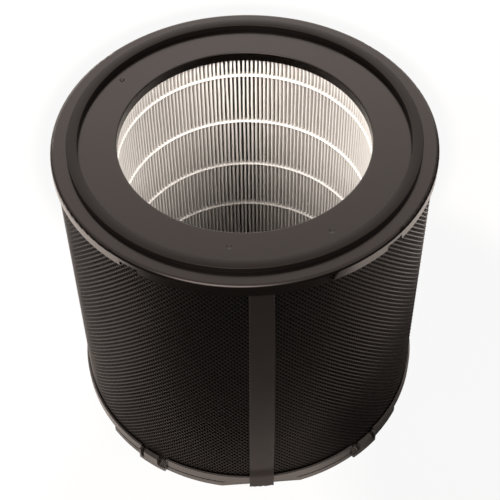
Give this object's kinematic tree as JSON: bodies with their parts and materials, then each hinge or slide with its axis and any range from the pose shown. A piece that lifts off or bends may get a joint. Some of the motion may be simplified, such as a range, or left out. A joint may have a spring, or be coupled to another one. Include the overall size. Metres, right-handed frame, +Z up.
{
  "type": "air purifier filter",
  "caption": "Cylindrical air purifier filter: pleated paper ring inside a carbon layer and net, between a capped foot and a top cap with a round air opening and a seal ring.",
  "frame": {"origin": "centre of the foot plane, on the filter's axis", "axes": "+Z up along the filter's axis, towards the open end; -Y is the front, where the seam strap runs"},
  "size_m": [0.27, 0.2706, 0.2512],
  "materials": {
    "cap_plastic": "satin",
    "gasket_foam": "matte",
    "potting_resin": "satin",
    "filter_paper": "matte",
    "bead_glue": "satin",
    "carbon": "matte",
    "net_plastic": "satin",
    "strap_cloth": "matte"
  },
  "bodies": {
    "root": {"top_cap": "cap_plastic", "top_gasket": "gasket_foam", "top_potting": "potting_resin", "pleat_pack": "filter_paper", "inner_bead_1": "bead_glue", "inner_bead_2": "bead_glue", "inner_bead_3": "bead_glue", "inner_bead_4": "bead_glue", "inner_bead_5": "bead_glue", "outer_bead_1": "bead_glue", "outer_bead_2": "bead_glue", "outer_bead_3": "bead_glue", "outer_bead_4": "bead_glue", "outer_bead_5": "bead_glue", "carbon_layer": "carbon", "net_sleeve": "net_plastic", "seam_strap": "strap_cloth", "bottom_potting": "potting_resin", "bottom_cap": "cap_plastic"}
  },
  "joints": []
}
